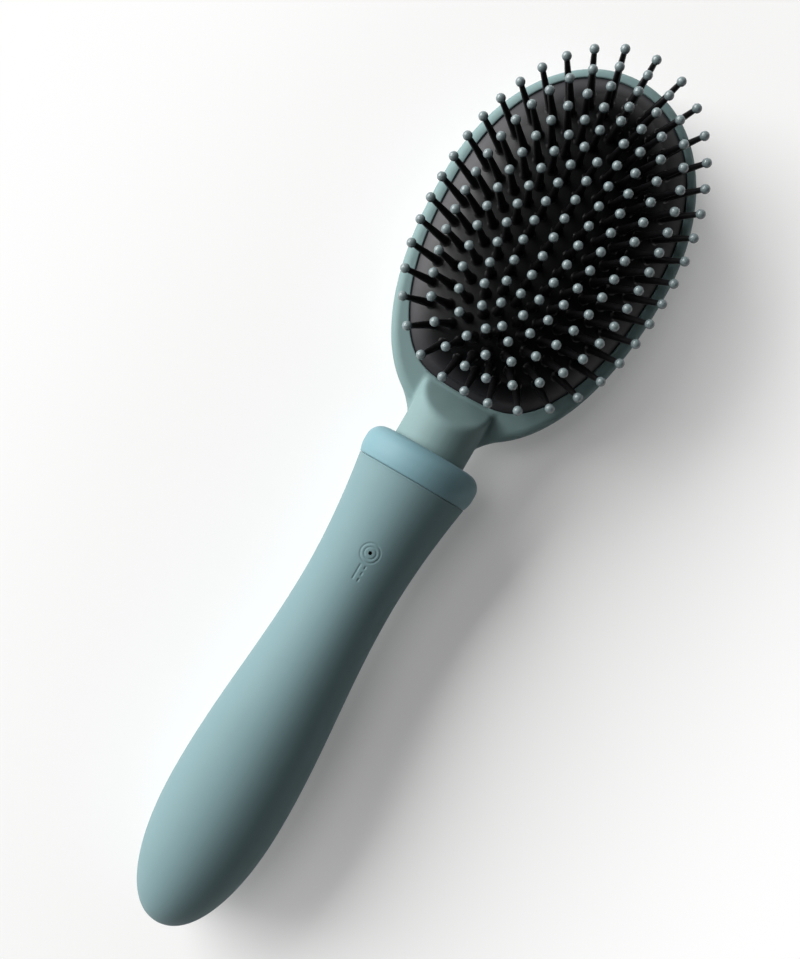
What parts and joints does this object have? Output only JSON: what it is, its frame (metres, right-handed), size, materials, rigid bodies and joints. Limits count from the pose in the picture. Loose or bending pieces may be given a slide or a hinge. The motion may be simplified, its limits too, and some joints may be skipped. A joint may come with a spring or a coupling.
{
  "type": "detangling brush",
  "caption": "Oval detangling brush: an air cushion of ball-tipped pins on a pull-off head, and a soft, rechargeable handle with a small vibrating motor.",
  "frame": {"origin": "middle of the flat land on the back of the head, on the head's widest line, in the plane the brush lies on", "axes": "+Z the way the pins point, +Y from the handle to the crown of the head, +X to the right of the head as seen from the pins' side with the crown up"},
  "size_m": [0.064, 0.2435, 0.0383],
  "materials": {
    "head_paint": "soft-touch sage paint on moulded ABS",
    "grip_silicone": "silky matt silicone",
    "collar_plastic": "satin blue-green ABS",
    "cushion_rubber": "satin black rubber, with nylon pins of the same black",
    "tip_nylon": "smooth satin nylon",
    "seal_rubber": "black nitrile rubber",
    "core_plastic": "natural moulded ABS",
    "zinc_steel": "zinc plated",
    "battery_wrap": "heat-shrunk sleeve over a steel cell",
    "red_lead": "PVC insulation",
    "black_lead": "PVC insulation",
    "board_laminate": "glass-epoxy with green solder mask",
    "black_plastic": "moulded black nylon",
    "motor_steel": "nickel plated",
    "white_nylon": "natural moulded nylon",
    "copper_winding": "enamelled wire",
    "weight_metal": "sintered"
  },
  "bodies": {
    "handle": {"grip_sleeve": "grip_silicone", "collar": "collar_plastic", "core_front": "core_plastic", "core_back": "core_plastic", "core_screws": "zinc_steel", "socket_tube": "core_plastic", "battery": "battery_wrap", "battery_leads": "red_lead", "circuit_board": "board_laminate", "charge_socket": "black_plastic", "tact_switch": "black_plastic", "motor_can": "motor_steel", "motor_end_cap": "white_nylon", "motor_boot": "seal_rubber", "motor_leads": "black_lead"},
    "head": {"head_shell": "head_paint", "cushion_skirt": "cushion_rubber", "head_spigot": "core_plastic", "spigot_o_ring": "seal_rubber"},
    "pin_field": {"bristle_ring_1": "cushion_rubber", "bristle_ring_2": "cushion_rubber", "bristle_ring_3": "cushion_rubber", "bristle_ring_4": "cushion_rubber", "bristle_ring_5": "cushion_rubber", "bristle_row": "cushion_rubber", "tips_ring_1": "tip_nylon", "tips_ring_2": "tip_nylon", "tips_ring_3": "tip_nylon", "tips_ring_4": "tip_nylon", "tips_ring_5": "tip_nylon", "tips_row": "tip_nylon"},
    "rotor": {"motor_shaft": "motor_steel", "motor_armature": "copper_winding", "eccentric_weight": "weight_metal"},
    "button": {"power_button": "collar_plastic", "switch_stem": "white_nylon"}
  },
  "joints": [
    {"name": "head_pull", "type": "slide", "parent": "handle", "child": "head", "axis": [0, 1, 0], "range_m": [0, 0.026]},
    {"name": "cushion_press", "type": "slide", "parent": "head", "child": "pin_field", "axis": [0, 0, -1], "range_m": [0, 0.002], "stiffness_N_per_m": 2000, "springref_m": -0.0002, "deforming": ["cushion_skirt"]},
    {"name": "rotor_spin", "type": "hinge", "parent": "handle", "child": "rotor", "pos_m": [0, -0.16, 0.0156], "axis": [0, 1, 0], "continuous": true},
    {"name": "button_press", "type": "slide", "parent": "handle", "child": "button", "axis": [0, 0, 1], "range_m": [0, 0.0008], "stiffness_N_per_m": 1500, "springref_m": -0.0005}
  ]
}
